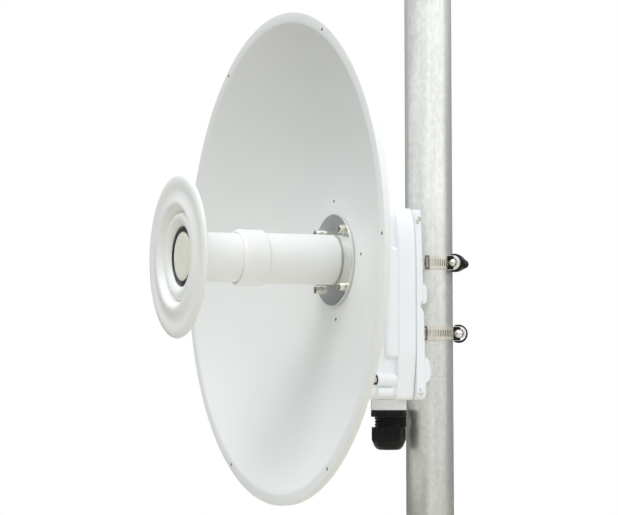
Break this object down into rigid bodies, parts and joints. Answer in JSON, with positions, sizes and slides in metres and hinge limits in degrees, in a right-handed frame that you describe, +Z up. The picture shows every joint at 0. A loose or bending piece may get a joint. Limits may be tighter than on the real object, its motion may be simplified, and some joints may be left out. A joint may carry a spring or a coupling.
{
  "type": "microwave dish antenna on a mast",
  "caption": "Parabolic dish antenna with a splash-plate feed and a rear radio housing, strapped to a short steel mast and turning about it.",
  "frame": {"origin": "centre of the base plate's underside, on the mast's axis", "axes": "+Z up along the mast, -Y along the dish's boresight, +X to the right of someone who looks along +Y into the dish"},
  "size_m": [0.5, 0.3778, 0.9643],
  "materials": {
    "reflector_paint": "satin white powder coat",
    "feed_plastic": "smooth white",
    "splash_plastic": "smooth off-white",
    "housing_paint": "cool white coat on a die casting",
    "galvanised": "dull mottled zinc",
    "hub_metal": "dark satin metal",
    "stainless": "bright rolled steel",
    "black_plastic": "black moulded",
    "black_rubber": "matt black",
    "cap_plastic": "matt grey-beige",
    "neck_grey": "light grey",
    "seam_grey": "matt grey"
  },
  "bodies": {
    "mast": {"mast_base": "galvanised", "mast_pole": "galvanised", "mast_cap": "black_plastic"},
    "antenna_head": {"dish_reflector": "reflector_paint", "hub_plate": "hub_metal", "feed_base_ring": "hub_metal", "hub_bolt_1": "stainless", "hub_bolt_2": "stainless", "hub_bolt_3": "stainless", "hub_bolt_4": "stainless", "feed_tube_rear": "feed_plastic", "feed_tube_front": "feed_plastic", "feed_collar": "feed_plastic", "splash_plate": "splash_plastic", "splash_seal": "black_rubber", "splash_cap": "cap_plastic", "housing_body": "housing_paint", "housing_seal": "seam_grey", "housing_lid": "housing_paint", "boss_screw_near": "stainless", "boss_screw_far": "stainless", "lid_screw_near_1": "stainless", "lid_screw_near_2": "stainless", "lid_screw_near_3": "stainless", "lid_screw_far_1": "stainless", "lid_screw_far_2": "stainless", "lid_screw_far_3": "stainless", "gland_neck": "neck_grey", "gland_body": "black_plastic", "gland_nut": "black_plastic", "strap_band_upper": "stainless", "strap_band_lower": "stainless", "strap_housing_upper": "stainless", "strap_housing_lower": "stainless", "strap_screw_upper": "stainless", "strap_screw_lower": "stainless", "strap_knob_upper": "black_plastic", "strap_knob_lower": "black_plastic", "strap_keeper_upper": "black_rubber", "strap_keeper_lower": "black_rubber"}
  },
  "joints": [
    {"name": "azimuth_swivel", "type": "hinge", "parent": "mast", "child": "antenna_head", "pos_m": [0, 0, 0.65], "axis": [0, 0, 1], "continuous": true}
  ]
}
